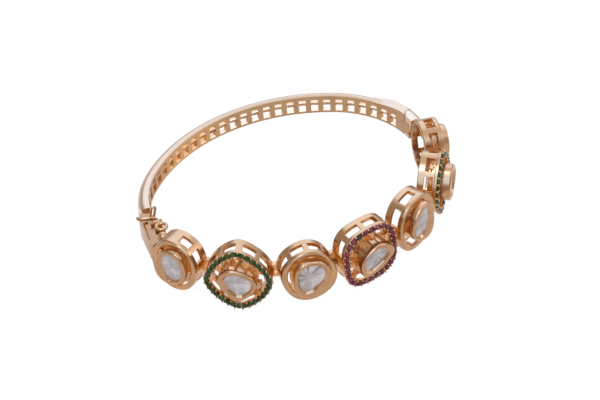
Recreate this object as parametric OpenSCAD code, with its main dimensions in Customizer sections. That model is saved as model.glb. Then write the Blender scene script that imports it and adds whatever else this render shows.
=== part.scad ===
// Openable bangle of kundan style: a pierced back band, hinged at one end and
// clasped at the other to a front half of seven soldered settings.
//
// Everything is drawn in the bangle's own frame (oval in the XY plane, front
// centre setting at -Y, hinge at +X, clasp at -X, Z along the bangle's axis)
// and then laid down the way it rests on a table, on the lower rims of its
// settings.  All sizes are millimetres.

/* [Oval] */
// Half of the inner width, hinge side to clasp side
half_w = 29; // [25:0.1:34]
// Inner depth behind the centre line, to the back of the band
back_d = 22.67; // [18:0.01:30]
// Inner depth in front of the centre line, to the front settings
front_d = 24.64; // [18:0.01:30]
// Turn of the four-centre oval's side arcs
side_turn = 50; // [30:1:60]

/* [Back band] */
// Height of the band along the bangle's axis
band_h = 4.56; // [3:0.01:8]
// Thickness of the band at mid height
band_t = 2.3; // [1.5:0.05:4]
// Roundness of the outer face: 2 is half round, more is squarer
band_n = 2.6; // [2:0.1:5]
// Height that is rounded off at the edges of the inner face
band_edge = 0.2; // [0.05:0.01:0.5]
// Thickness of the inner face plate that the windows are cut in
plate_t = 0.92; // [0.6:0.01:1.6]
// Wall of the hollow outer face
shell_t = 0.5; // [0.3:0.05:0.8]
// Height where the wall of the outer face ends, the channel is open below it
shell_low = -1.2; // [-2:0.05:0]
// Turn on the back arc past which the channel is closed below, towards the clasp
open_to = 106; // [60:1:130]
// Slope of the outer wall's lower edge there
open_slope = 6.8; // [2:0.1:20]
// Distance between window columns
pitch = 2.6; // [1.8:0.05:4]
// Number of window columns
columns = 27; // [10:1:30]
// Distance of the first column from the hinge end of the oval
first_column = 2.8; // [1.5:0.1:6]
// Width of an upper window
up_w = 1.5; // [0.8:0.02:3]
// Bottom and top of the upper windows
win_up = [0.55, 1.22];
// Widths of a lower window at its bottom and at its top
low_w = [1.52, 1.84];
// Bottom of the lower windows, height where they start to widen, and top
win_low = [-1.56, -0.45, 0.16];

/* [Hinge] */
// Thickness of the band's hinge end
end_t = 2.9; // [2.3:0.05:3.5]
// Bottom and top of the hinge end, which rises above the band
end_z = [-2.28, 3.25];
// Distance of the hinge pin from the band's inner face
pin_off = 1.45; // [0.8:0.05:2]
// Position of the hinge pin along the side, in front of the centre line
pin_y = -1.75; // [-3:0.05:3]
// Radius of the hinge pin
pin_r = 0.4; // [0.25:0.01:0.8]
// Radial clearance of the pin in its knuckles
pin_clear = 0.04; // [0.01:0.01:0.1]
// Radius of the knuckles
knuckle_r = 1.42; // [0.8:0.01:1.6]
// Gap between knuckles and the ends that they turn in
hinge_gap = 0.2; // [0.05:0.01:0.3]
// Bottom and top of the middle knuckle
knuckle_z = [-1.0, 1.35];
// How far the square inner sides of the outer and middle knuckles run past the pin
lap = [0.75, 0.75];

/* [Clasp] */
// Turn of the band's clasp end on the oval
clasp_turn = 164.5; // [150:0.5:175]
// Distance from the band's end to the mouth of the clasp box
neck = 3.3; // [0:0.1:5]
// Length of the tongue inside the box
tongue_in = 3.2; // [1:0.1:5]
// Height of the tongue
tongue_h = 2.5; // [1:0.1:4]
// Thickness of the folded tongue
tongue_t = 1.25; // [0.8:0.05:2]
// Offset of the tongue to the outer side
tongue_x = 0.3; // [-0.5:0.05:0.8]
// Clearance around the tongue
tongue_gap = 0.3; // [0.1:0.05:0.6]
// Height of the clasp box's top and bottom over the band's mid height
box_z = 2.13; // [1.8:0.01:2.28]
// Radius of the bar that the safety catch turns on
bar_r = 0.2; // [0.15:0.01:0.5]
// Radial clearance of the catch's tube on the bar
bar_clear = 0.05; // [0.01:0.01:0.1]
// Place of that bar: inner to outer side, distance from the band's end, height
bar_at = [-0.3, -5.5, 2.62];
// Radius of the catch's ring and of its wire
ring_r = [1.0, 0.38];
// Place of the ring's centre from the bar: along the bar, and away from it
ring_at = [-0.3, -1.75];
// Half width and wire radius of the upright eye on the neck
eye_r = [0.4, 0.25];

/* [Settings] */
// Height of the settings' centres over the band's mid height
set_z = -0.9; // [-3:0.1:3]
// Depth of a setting from its inner rim to its face
set_d = 4.2; // [3:0.1:6]
// Wall of a setting
wall_t = 0.75; // [0.5:0.05:1.2]
// Start and end of the side windows, measured from the inner rim
set_win = [1.3, 3.15];
// Distance of the bezels' back edge from the inner rim
bez_z = 2.2; // [0.8:0.05:3]
// Bottom and top of the small plates around the bezels in the halos
crown_z = [3.0, 3.55];
// Number of those plates
crown_n = 9; // [6:1:14]
// Turn, yaw, slide, lift, half width, half height, squareness, lean,
// kind (0 plain, 1 almond halo, 2 cushion halo), first window, windows, lip height, window width
settings = [
  [-74.2,  4.0,  0.07, -0.11, 5.11, 6.04, 2.14, -16, 0,  68, 10, 5.4, 2.5],
  [-47.6,  1.7, -0.11,  0.06, 6.71, 7.15, 1.55,   0, 1,  68, 10, 5.7, 3.0],
  [-23.3,  3.5,  0.04, -0.31, 5.26, 5.89, 2.22,  23, 0,  72, 10, 5.75, 2.7],
  [  0.0,  0.0, -0.15,  0.05, 6.18, 6.60, 2.98,   4, 2,  78, 10, 6.25, 3.2],
  [ 23.3, -3.5,  0.24, -0.09, 5.50, 6.13, 2.31,   5, 0, 100,  8, 5.7, 3.5],
  [ 47.6, -1.7,  0.11,  0.06, 6.71, 7.15, 1.55,   0, 1, 112, 10, 6.3, 3.0],
  [ 72.8,  0.0,  0.00, -0.10, 5.10, 6.00, 2.20,  16, 0,  94,  9, 5.6, 2.9]
];
// Inner bezels: slide, lift, half width, half height, squareness, lean, egg, skew
bezels = [
  [ 0.06, 0.10, 3.55, 4.60, 1.95, -30, -0.07, -0.05],
  [-0.30, 0.15, 3.26, 3.67, 2.50,  48, -0.17,  0.00],
  [ 0.26, 0.04, 3.70, 4.05, 2.54,  -3,  0.04, -0.12],
  [-0.03, 0.16, 3.84, 2.75, 2.67,  29, -0.22,  0.04],
  [ 0.31, 0.29, 3.43, 4.32, 2.24,   6,  0.01,  0.20],
  [ 0.30, 0.15, 3.26, 3.67, 2.50, -48,  0.17,  0.00],
  [-0.06, 0.10, 3.55, 4.60, 1.95,  30,  0.07,  0.05]
];
// Flat uncut stones: the same values, and how many corners
stones = [
  [ 0.30, 0.12, 2.25, 3.05, 2.39,   5, -0.01, -0.14, 10],
  [-0.17, 0.10, 2.60, 2.05, 2.63, -36,  0.00,  0.31, 11],
  [-0.13, 0.18, 2.55, 3.20, 1.83, -22,  0.36, -0.03, 12],
  [-0.17, 0.37, 2.70, 1.85, 2.46,  27, -0.24, -0.14,  9],
  [ 0.16, 0.46, 2.20, 3.10, 1.89, -24, -0.13, -0.02,  9],
  [ 0.15, 0.10, 2.55, 2.10, 2.50,  34,  0.05, -0.28, 11],
  [-0.25, 0.10, 2.20, 3.00, 2.30,  -8,  0.05,  0.14, 10]
];
// Gap around a stone in its seat
stone_gap = 0.04; // [0.02:0.01:0.1]

/* [Rest] */
// Tilt of the bangle where it lies by itself
rest_tilt = 4.38; // [0:0.05:12]
// Shift that puts the origin under the middle of the whole part
rest_shift = [0.068, 3.089, 6.52];

/* [Hidden] */
$fn = 48;
// columns of the table of settings
TURN = 0; YAW = 1; SLIDE = 2; LIFT = 3; HALF_W = 4; HALF_H = 5; SQUARE = 6; LEAN = 7;
KIND = 8; FIRST = 9; WINDOWS = 10; LIP = 11; WINDOW_W = 12;
// further columns of the tables of bezels and stones, which start with slide and lift
Q_SLIDE = 0; Q_LIFT = 1; Q_HALF_W = 2; Q_HALF_H = 3; Q_SQUARE = 4; Q_LEAN = 5; Q_EGG = 6; Q_SKEW = 7; Q_CORNERS = 8;
PLAIN = 0;
zh = band_h / 2;

// four-centre oval behind the centre line: side radius, back radius
ss = sin(side_turn); cc = cos(side_turn);
kk = (half_w - back_d) / (ss + cc - 1);
r_side = half_w - kk * cc;
r_back = back_d + kk * ss;
x_side = half_w - r_side;
y_back = back_d - r_back;
len_side = r_side * side_turn * PI / 180;
len_back = r_back * (180 - 2 * side_turn) * PI / 180;

// ellipse of the front half, for placing the settings
function oval_p(t) = [half_w * cos(t), (sin(t) >= 0 ? back_d : front_d) * sin(t)];
function oval_n(t) = atan2(sin(t) / (sin(t) >= 0 ? back_d : front_d), cos(t) / half_w);
function sgn(v) = v < 0 ? -1 : 1;
function super(w, h, n, k) = [for (i = [0 : k - 1]) let (a = 360 * i / k)
    [w * sgn(cos(a)) * pow(abs(cos(a)), 2 / n), h * sgn(sin(a)) * pow(abs(sin(a)), 2 / n)]];
// uneven outline: a super-ellipse made wider to one end and taller to one side,
// drawn smaller by d all round
function blob(q, d, k) = [for (p = super(1, 1, q[Q_SQUARE], k))
    let (x = (q[Q_HALF_W] - d) * p[0] * (1 + q[Q_EGG] * p[1]), y = (q[Q_HALF_H] - d) * p[1] * (1 + q[Q_SKEW] * p[0]))
    [q[Q_SLIDE] + x * cos(q[Q_LEAN]) - y * sin(q[Q_LEAN]), q[Q_LIFT] + x * sin(q[Q_LEAN]) + y * cos(q[Q_LEAN])]];

module lay() translate(rest_shift) rotate([-rest_tilt, 0, 0]) children();

// local frame of a setting: x right and y up as seen from outside, z outward
module at_setting(s) {
  t = -90 + s[TURN];
  p = oval_p(t);
  translate([p[0], p[1], set_z]) rotate([0, 0, oval_n(t) + s[YAW]]) rotate([90, 0, 90]) children();
}
module rim2d(s, d) translate([s[SLIDE], s[LIFT]]) rotate(s[LEAN])
  polygon(super(s[HALF_W] - d, s[HALF_H] - d, s[SQUARE], 64));
module ring2d(s, a, b) difference() { rim2d(s, a); rim2d(s, b); }

// ---------------------------------------------------------------- band
// outer boundary of the band's section: x from the inner face, y up; e rounds the inner edges
function dome(t, h, n, k, e = 0) = [for (i = [0 : k]) let (a = -90 + 180 * i / k)
    [t * pow(max(cos(a), 0), 2 / n), (h - (i == 0 || i == k ? e : 0)) * sgn(sin(a)) * pow(abs(sin(a)), 2 / n)]];
module section() polygon(dome(band_t, zh, band_n, 24, band_edge));
// the channel behind the pierced plate
module hollow() intersection() {
  polygon(dome(band_t - shell_t, zh - shell_t, band_n, 16));
  translate([plate_t, -zh]) square([band_t, band_h]);
}
// its open lower side
module low_side() translate([plate_t + 0.03, -zh - 1]) square([band_t + 1, zh + 1 + shell_low]);
module sweep(r, a0, a1) rotate([0, 0, a0]) rotate_extrude(angle = a1 - a0, $fn = 96) translate([r, 0]) children();
clasp_a = atan2(oval_p(clasp_turn)[1], oval_p(clasp_turn)[0] + x_side);
// the side arcs run a little way into the back arc, a hair smaller than it
module half_path(a_end) translate([x_side, 0, 0]) sweep(r_side, a_end, side_turn + 0.8)
  translate([band_t / 2, 0]) scale(0.994) translate([-band_t / 2, 0]) children();
module band_path(a_start, a_end) {
  half_path(a_start) children();
  translate([0, y_back, 0]) sweep(r_back, side_turn, 180 - side_turn) children();
  mirror([1, 0, 0]) half_path(180 - a_end) children();
}
// the channel is open below from the hinge end to open_to, where the opening slopes out
module opening() {
  half_path(4.2) low_side();
  translate([0, y_back, 0]) intersection() {
    sweep(r_back, side_turn, open_to + 3) low_side();
    rotate([0, 0, open_to]) translate([0, 0, -zh - 0.15]) rotate([-open_slope, 0, 0]) translate([10, -60, -6]) cube([40, 63, 6]);
  }
}
// place a child on the oval at a distance from the hinge end, x outward
module on_band(s) {
  if (s < len_side)
    translate([x_side, 0, 0]) rotate([0, 0, s / r_side * 180 / PI]) translate([r_side, 0, 0]) children();
  else if (s < len_side + len_back)
    translate([0, y_back, 0]) rotate([0, 0, side_turn + (s - len_side) / r_back * 180 / PI]) translate([r_back, 0, 0]) children();
  else
    translate([-x_side, 0, 0]) rotate([0, 0, 180 - side_turn + (s - len_side - len_back) / r_side * 180 / PI]) translate([r_side, 0, 0]) children();
}

// ---------------------------------------------------------------- hinge
hx = half_w + pin_off;
hy = pin_y;
module hinge_disc(r, z0, z1) translate([hx, hy, z0]) cylinder(r = r, h = z1 - z0);
// the thicker and taller section that both halves have at the hinge
module end_section() translate([0.02, (end_z[0] + end_z[1]) / 2])
  polygon(dome(end_t, (end_z[1] - end_z[0]) / 2, 3.2, 24, band_edge));
module end_path(a0, a1) translate([x_side, 0, 0]) sweep(r_side, a0, a1) end_section();
// plan about the pin: a disc, and all that is in front of the line at "inner" on
// the wrist side and at "outer" on the far side
module zone(r, inner, outer) translate([hx, hy]) {
  circle(r);
  translate([-6, -9]) square([6, 9 + inner]);
  translate([0, -9]) square([6, 9 + outer]);
}
module back_zone(r, inner, outer) translate([0, hy]) mirror([0, 1]) translate([0, -hy]) zone(r, inner, outer);
hg = hinge_gap / 2;
// the band swells towards the hinge, in height and in thickness
module swelling() intersection() {
  end_path(-10, 27);
  translate([20, 0, 0]) rotate([90, 0, 90]) linear_extrude(20)
    polygon([[-5, -4], [12, -4], [12, 1.3], [7.2, zh - 0.25], [hy + 0.75, end_z[1]], [-5, end_z[1] + 0.6]]);
  translate([0, 0, -5]) linear_extrude(12)
    polygon([[20, -5], [40, -5], [40, 4.5], [x_side + (r_side + end_t) * cos(12), (r_side + end_t) * sin(12)],
             [x_side + (r_side + band_t) * cos(27) - 0.05, (r_side + band_t) * sin(27)], [20, 9.8]]);
}

// ---------------------------------------------------------------- clasp
// the clasp slides along the arc about the hinge pin
cp = oval_p(clasp_turn);
cn = oval_n(clasp_turn);
cm = [cp[0] + 1.2 * cos(cn), cp[1] + 1.2 * sin(cn)];
cdir = atan2(cm[1] - hy, cm[0] - hx) - 90;   // direction from the box mouth to the band's end
// frame at the band's clasp end: x outward, -y towards the box
module at_clasp() translate([cm[0], cm[1], 0]) rotate([0, 0, cdir - 90]) mirror([1, 0, 0]) children();
mouth = -neck;

module tongue() {
  // stepped neck, then a folded spring tongue
  translate([-0.9, -neck + 0.55, -1.55]) cube([1.95, neck + 0.45, 3.1]);
  translate([tongue_x, 0, 0]) difference() {
    translate([-tongue_t / 2, -neck - tongue_in, -tongue_h / 2]) cube([tongue_t, tongue_in + 0.9, tongue_h]);
    translate([-0.18, -neck - tongue_in + 0.5, -tongue_h / 2 - 1]) cube([0.36, tongue_in - 0.1, tongue_h + 2]);
  }
  // upright eye of wire on the neck, leaning to the wrist side
  translate([-0.5, -neck + 0.9, 1.3]) rotate([0, -14, 0]) {
    for (x = [-eye_r[0], eye_r[0]]) translate([x, 0, 0]) cylinder(r = eye_r[1], h = 2.2, $fn = 20);
    translate([0, 0, 2.2]) rotate([90, 0, 0]) rotate_extrude(angle = 180, $fn = 32) translate([eye_r[0], 0]) circle(r = eye_r[1], $fn = 20);
  }
}

module back_band() color([0.85, 0.62, 0.48]) lay() {
  difference() {
    union() {
      difference() {
        union() {
          band_path(-1.8, clasp_a) section();
          swelling();
        }
        band_path(4.2, clasp_a - 3.4) hollow();
        opening();
        for (i = [0 : columns - 1]) on_band(first_column + i * pitch) {
          translate([-0.6, -up_w / 2, win_up[0]]) cube([plate_t + 0.75, up_w, win_up[1] - win_up[0]]);
          translate([-0.6, 0, 0]) rotate([90, 0, 90]) linear_extrude(plate_t + 0.75)
            polygon([for (m = [-0.5, 0.5], q = m < 0 ? [[low_w[0], win_low[0]], [low_w[0], win_low[1]], [low_w[1], win_low[2]]]
                                                     : [[low_w[1], win_low[2]], [low_w[0], win_low[1]], [low_w[0], win_low[0]]]) [m * q[0], q[1]]]);
        }
        // the knuckles of the front half turn in here
        for (z = [[-zh - 2, knuckle_z[0] + hg], [knuckle_z[1] - hg, end_z[1] + 1]])
          translate([0, 0, z[0]]) linear_extrude(z[1] - z[0]) zone(knuckle_r + hinge_gap, lap[0] + hg, hg);
        translate([0, 0, knuckle_z[0]]) linear_extrude(knuckle_z[1] - knuckle_z[0]) difference() {
          translate([hx - 6, hy - 6]) square([12, 6.5]);
          back_zone(knuckle_r, lap[1] - hg, -hg);
        }
      }
      at_clasp() tongue();
    }
    hinge_disc(pin_r + pin_clear, -2.5, 3.5);
  }
}

module hinge_pin() color([0.80, 0.58, 0.44]) lay() hinge_disc(pin_r, end_z[0] + 0.4, end_z[1] - 0.4);

// ---------------------------------------------------------------- front half
module setting_wall(s) {
  pitch_a = 360 / s[WINDOWS];
  edge = s[KIND] == PLAIN ? 0 : 0.25;
  difference() {
    linear_extrude(s[KIND] == PLAIN ? set_d : set_d - 0.3) ring2d(s, edge, edge + wall_t);
    for (i = [0 : s[WINDOWS] - 1]) let (a = s[FIRST] + i * pitch_a, b = (a % 360 + 540) % 360 - 180)
      if (abs(b) > 14 && abs(b) < 166 && !(s[TURN] < -70 && b > 90 && b < 150))
        translate([s[SLIDE], s[LIFT], set_win[0]]) rotate([0, 0, a]) translate([2.5, -s[WINDOW_W] / 2, 0])
          cube([6, s[WINDOW_W], set_win[1] - set_win[0]]);
  }
}
module bezel(k, s) {
  top = s[LIP];
  difference() {
    union() {
      translate([0, 0, bez_z]) linear_extrude(top - 0.45 - bez_z) polygon(blob(bezels[k], 0, 48));
      translate([0, 0, top - 0.45]) linear_extrude(0.25) polygon(blob(bezels[k], 0.12, 48));
      translate([0, 0, top - 0.2]) linear_extrude(0.2) polygon(blob(bezels[k], 0.3, 48));
    }
    translate([0, 0, bez_z - 1]) linear_extrude(top - 1.25 - bez_z + 1) polygon(blob(bezels[k], 0.65, 48));
    translate([0, 0, top - 0.75]) linear_extrude(1) polygon(blob(stones[k], -stone_gap, stones[k][Q_CORNERS]));
    if (s[KIND] != PLAIN) for (i = [0 : 4]) rotate([0, 0, s[FIRST] + i * 36])
      translate([-6, -0.55, bez_z - 0.5]) cube([12, 1.1, 1.2]);
  }
}
module setting(k) {
  s = settings[k];
  bars = s[KIND] != PLAIN ? 5 : 4;
  at_setting(s) {
    setting_wall(s);
    bezel(k, s);
    // bars from the posts between the windows hold the bezel in the open frame
    difference() {
      for (i = [0 : bars - 1]) rotate([0, 0, s[FIRST] + (0.5 + floor(i * s[WINDOWS] / bars)) * 360 / s[WINDOWS]])
        translate([1.9, -0.4, bez_z - 0.35]) cube([6, 0.8, 0.75]);
      linear_extrude(9) polygon(blob(bezels[k], 0.4, 48));
      linear_extrude(4) difference() { square(20, center = true); rim2d(s, wall_t * 0.6); }
    }
    // crown of small plates around the foot of a bezel that stands in a halo
    if (s[KIND] != PLAIN) intersection() {
      translate([0, 0, crown_z[0]]) linear_extrude(crown_z[1] - crown_z[0]) difference() {
        polygon(blob(bezels[k], -0.85, 48));
        polygon(blob(bezels[k], 0.35, 48));
      }
      for (i = [0 : crown_n - 1]) rotate([0, 0, s[FIRST] + i * 360 / crown_n]) translate([0, -0.65, 0]) cube([9, 1.3, 9]);
    }
    // rail that carries the row of small stones
    if (s[KIND] != PLAIN) translate([0, 0, set_d - 0.95]) linear_extrude(0.65) ring2d(s, 0.12, 1.42);
  }
}
// small pierced link soldered between the inner rims
module link(t) {
  p = oval_p(-90 + t);
  translate([p[0], p[1], set_z]) rotate([0, 0, oval_n(-90 + t)]) difference() {
    translate([0.25, -1.0, -1.5]) cube([1.1, 2.0, 3.0]);
    translate([-1, 0, -0.4]) rotate([0, 90, 0]) cylinder(r = 0.42, h = 4, $fn = 24);
  }
}
// ends of the front half
module hinge_block() difference() {
  intersection() {
    end_path(-11, 4);
    translate([0, 0, -zh - 2]) linear_extrude(12) zone(knuckle_r, lap[0] - hg, -hg);
  }
  // keep the block out of the last setting
  at_setting(settings[6]) translate([0, 0, -1]) linear_extrude(9) rim2d(settings[6], wall_t * 0.6);
}
module hinge_room() {
  translate([0, 0, knuckle_z[0] - hg]) linear_extrude(knuckle_z[1] - knuckle_z[0] + hinge_gap)
    intersection() {
      back_zone(knuckle_r + hinge_gap, lap[1] + hg, hg);
      translate([hx - 6, hy - 6]) square([12, 12]);
    }
  hinge_disc(pin_r + pin_clear, end_z[0] + 0.3, end_z[1] - 0.3);
}
module clasp_box() {
  difference() {
    at_clasp() difference() {
      union() {
        // tapering box from its slanted mouth to the first setting
        translate([0, 0, -box_z]) linear_extrude(2 * box_z)
          polygon([[-1.13, mouth - 0.4], [2.25, mouth + 0.7], [3.07, mouth - 7.1], [2.7, mouth - 7.8], [0.3, mouth - 6.6], [-1.07, mouth - 5]]);
        // wire lip along the mouth
        translate([-0.55, mouth - 0.35, box_z + 0.12]) rotate([0, 0, 22]) rotate([0, 90, 0]) cylinder(r = 0.27, h = 2.95, $fn = 24);
        // lugs of the catch's bar
        for (x = [-0.98, 0.98]) translate([bar_at[0] + x - 0.15, bar_at[1] - 0.25, box_z - 0.2]) cube([0.3, 0.5, bar_at[2] - box_z + 0.44]);
      }
      // room for the tongue, and two openings in the top
      translate([tongue_x - tongue_t / 2 - tongue_gap, mouth - tongue_in - 0.5, -tongue_h / 2 - 0.2])
        cube([tongue_t + 2 * tongue_gap, tongue_in + 1, tongue_h + 0.4]);
      translate([1.0, mouth - 1.4, 1.2]) cube([0.9, 0.75, 3]);
      translate([2.55, mouth - 5.9, 1.2]) rotate([0, 0, 9.5]) cube([0.28, 5.2, 3]);
    }
    at_setting(settings[0]) linear_extrude(9) rim2d(settings[0], wall_t * 0.6);
  }
}
module bar() at_clasp() translate(bar_at) rotate([0, 90, 0]) translate([0, 0, -1.1]) cylinder(r = bar_r, h = 2.2, $fn = 32);
module front_frame() color([0.85, 0.60, 0.42]) lay() {
  for (k = [0 : 5]) setting(k);
  difference() {
    union() {
      setting(6);
      hinge_block();
    }
    hinge_room();
  }
  for (t = [-60.9, -34.2, -12.5, 12.5, 34.2, 60.4]) link(t);
  clasp_box();
  bar();
  // ball on the first setting
  at_setting(settings[0]) translate([-3.35, 4.5, 1.9]) sphere(r = 0.87, $fn = 32);
}

// ---------------------------------------------------------------- rows of small stones
module halo(k) lay() at_setting(settings[k])
  translate([0, 0, set_d - 0.28]) linear_extrude(0.5) ring2d(settings[k], 0.16, 1.32);
module green_halo_left() color([0.08, 0.28, 0.17]) halo(1);
module ruby_halo_centre() color([0.42, 0.07, 0.16]) halo(3);
module green_halo_right() color([0.08, 0.28, 0.17]) halo(5);

// ---------------------------------------------------------------- flat uncut stones
module stone(k) color([0.78, 0.75, 0.78]) lay() at_setting(settings[k]) {
  q = stones[k];
  c = [q[Q_SLIDE], q[Q_LIFT]];
  translate([c[0], c[1], settings[k][LIP] - 0.72]) {
    linear_extrude(0.34) translate(-c) polygon(blob(q, 0, q[Q_CORNERS]));
    translate([0, 0, 0.34]) linear_extrude(0.24, scale = 0.5) translate(-c) polygon(blob(q, 0, q[Q_CORNERS]));
  }
}
module polki_1() stone(0);
module polki_2() stone(1);
module polki_3() stone(2);
module polki_4() stone(3);
module polki_5() stone(4);
module polki_6() stone(5);
module polki_7() stone(6);

// ---------------------------------------------------------------- safety catch
// a wire ring on a short tube that turns on the clasp box's bar
module safety_catch() color([0.88, 0.68, 0.55]) lay() at_clasp() translate(bar_at) {
  difference() {
    union() {
      translate([-0.72, 0, 0]) rotate([0, 90, 0]) cylinder(r = 0.42, h = 1.44, $fn = 32);
      // short shank from the tube into the ring
      translate([ring_at[0], 0, 0]) rotate([90, 0, 0]) cylinder(r = 0.32, h = -ring_at[1] - ring_r[0], $fn = 24);
      translate([ring_at[0], ring_at[1], 0]) rotate_extrude($fn = 48) translate([ring_r[0], 0]) circle(r = ring_r[1], $fn = 20);
    }
    translate([-2, 0, 0]) rotate([0, 90, 0]) cylinder(r = bar_r + bar_clear, h = 4, $fn = 32);
  }
}

back_band();
hinge_pin();
front_frame();
green_halo_left();
ruby_halo_centre();
green_halo_right();
polki_1();
polki_2();
polki_3();
polki_4();
polki_5();
polki_6();
polki_7();
safety_catch();
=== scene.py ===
import math
import random

import bmesh
import bpy
from mathutils import Matrix, Vector


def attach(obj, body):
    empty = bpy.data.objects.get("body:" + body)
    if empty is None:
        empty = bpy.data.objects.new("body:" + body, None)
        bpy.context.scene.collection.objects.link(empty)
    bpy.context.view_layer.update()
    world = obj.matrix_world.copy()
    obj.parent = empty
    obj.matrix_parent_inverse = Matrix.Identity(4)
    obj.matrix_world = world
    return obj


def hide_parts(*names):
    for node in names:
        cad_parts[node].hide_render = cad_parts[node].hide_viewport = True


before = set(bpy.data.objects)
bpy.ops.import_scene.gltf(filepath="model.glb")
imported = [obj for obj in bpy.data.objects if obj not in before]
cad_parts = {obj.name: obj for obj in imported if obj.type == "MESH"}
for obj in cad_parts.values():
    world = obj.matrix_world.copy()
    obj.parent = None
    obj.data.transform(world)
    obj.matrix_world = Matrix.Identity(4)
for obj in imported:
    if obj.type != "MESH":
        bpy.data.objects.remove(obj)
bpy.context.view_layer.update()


random.seed(7)

# ------------------------------------------------------------------ the bangle's own frame
# Millimetres; front centre setting at -Y, hinge at +X, clasp at -X, Z along the bangle's axis.
MM = 0.001
TILT = 4.38
SHIFT = (0.068, 3.089, 6.52)
LAY = Matrix.Scale(MM, 4) @ Matrix.Translation(SHIFT) @ Matrix.Rotation(math.radians(-TILT), 4, "X")

HALF_W, BACK_D, FRONT_D = 29.0, 22.67, 24.64
BAND_H, BAND_T, BAND_N = 4.56, 2.3, 2.6
ZH = BAND_H / 2
SET_Z, SET_D, WALL = -0.9, 4.2, 0.75
WIN0, WIN1 = 1.3, 3.15
HX, HY = HALF_W + 1.45, -1.75
KNUCKLE_R, HINGE_GAP, LAP, PIN_R = 1.42, 0.2, 0.75, 0.4
KNUCKLE_Z = (-1.0, 1.35)
END_T, END_Z = 2.9, (-2.28, 3.25)
BEZ_Z = 2.2

# turn, yaw, slide, lift, half width, half height, squareness, lean, kind, first window, windows, lip height,
# window width
SETTINGS = [
    (-74.2, 4.0, 0.07, -0.11, 5.11, 6.04, 2.14, -16, 0, 68, 10, 5.4, 2.5),
    (-47.6, 1.7, -0.11, 0.06, 6.71, 7.15, 1.55, 0, 1, 68, 10, 5.7, 3.0),
    (-23.3, 3.5, 0.04, -0.31, 5.26, 5.89, 2.22, 23, 0, 72, 10, 5.75, 2.7),
    (0.0, 0.0, -0.15, 0.05, 6.18, 6.60, 2.98, 4, 2, 78, 10, 6.25, 3.2),
    (23.3, -3.5, 0.24, -0.09, 5.50, 6.13, 2.31, 5, 0, 100, 8, 5.7, 3.5),
    (47.6, -1.7, 0.11, 0.06, 6.71, 7.15, 1.55, 0, 1, 112, 10, 6.3, 3.0),
    (72.8, 0.0, 0.00, -0.10, 5.10, 6.00, 2.20, 16, 0, 94, 9, 5.6, 2.9),
]
# slide, lift, half width, half height, squareness, lean, egg, skew
BEZELS = [
    (0.06, 0.10, 3.55, 4.60, 1.95, -30, -0.07, -0.05),
    (-0.30, 0.15, 3.26, 3.67, 2.50, 48, -0.17, 0.00),
    (0.26, 0.04, 3.70, 4.05, 2.54, -3, 0.04, -0.12),
    (-0.03, 0.16, 3.84, 2.75, 2.67, 29, -0.22, 0.04),
    (0.31, 0.29, 3.43, 4.32, 2.24, 6, 0.01, 0.20),
    (0.30, 0.15, 3.26, 3.67, 2.50, -48, 0.17, 0.00),
    (-0.06, 0.10, 3.55, 4.60, 1.95, 30, 0.07, 0.05),
]
# the same, and how many corners
STONES = [
    (0.30, 0.12, 2.25, 3.05, 2.39, 5, -0.01, -0.14, 10),
    (-0.17, 0.10, 2.60, 2.05, 2.63, -36, 0.00, 0.31, 11),
    (-0.13, 0.18, 2.55, 3.20, 1.83, -22, 0.36, -0.03, 12),
    (-0.17, 0.37, 2.70, 1.85, 2.46, 27, -0.24, -0.14, 9),
    (0.16, 0.46, 2.20, 3.10, 1.89, -24, -0.13, -0.02, 9),
    (0.15, 0.10, 2.55, 2.10, 2.50, 34, 0.05, -0.28, 11),
    (-0.25, 0.10, 2.20, 3.00, 2.30, -8, 0.05, 0.14, 10),
]


def rad(a):
    return math.radians(a)


def spow(v, e):
    return math.copysign(abs(v) ** e, v)


def oval_p(t):
    a = rad(t)
    return HALF_W * math.cos(a), (BACK_D if math.sin(a) >= 0 else FRONT_D) * math.sin(a)


def oval_n(t):
    a = rad(t)
    return math.degrees(math.atan2(math.sin(a) / (BACK_D if math.sin(a) >= 0 else FRONT_D), math.cos(a) / HALF_W))


def setting_frame(s):
    """x right and y up as seen from outside, z outward."""
    t = -90 + s[0]
    px, py = oval_p(t)
    return (Matrix.Translation((px, py, SET_Z)) @ Matrix.Rotation(rad(oval_n(t) + s[1]), 4, "Z")
            @ Matrix.Rotation(rad(90), 4, "Z") @ Matrix.Rotation(rad(90), 4, "X"))


def blob(q, d, k):
    out = []
    for i in range(k):
        a = 2 * math.pi * i / k
        c, s = spow(math.cos(a), 2 / q[4]), spow(math.sin(a), 2 / q[4])
        x, y = (q[2] - d) * c * (1 + q[6] * s), (q[3] - d) * s * (1 + q[7] * c)
        r = rad(q[5])
        out.append((q[0] + x * math.cos(r) - y * math.sin(r), q[1] + x * math.sin(r) + y * math.cos(r)))
    return out


def outline_point(s, a, d):
    """point of a setting's outline at parameter a, drawn smaller by d"""
    x, y = (s[4] - d) * spow(math.cos(a), 2 / s[6]), (s[5] - d) * spow(math.sin(a), 2 / s[6])
    r = rad(s[7])
    return s[2] + x * math.cos(r) - y * math.sin(r), s[3] + x * math.sin(r) + y * math.cos(r)


# ------------------------------------------------------------------ materials
def node_mat(name):
    m = bpy.data.materials.new(name)
    m.use_nodes = True
    nt = m.node_tree
    return m, nt, nt.nodes["Principled BSDF"]


def mix_color(nt, fac, a, b):
    m = nt.nodes.new("ShaderNodeMix")
    m.data_type = "RGBA"
    for key, v in (("Factor", fac), ("A", a), ("B", b)):
        if isinstance(v, (int, float)):
            m.inputs[key].default_value = v
        elif isinstance(v, tuple):
            m.inputs[key].default_value = (*v, 1)
        else:
            nt.links.new(v, m.inputs[key])
    return m.outputs["Result"]


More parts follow.
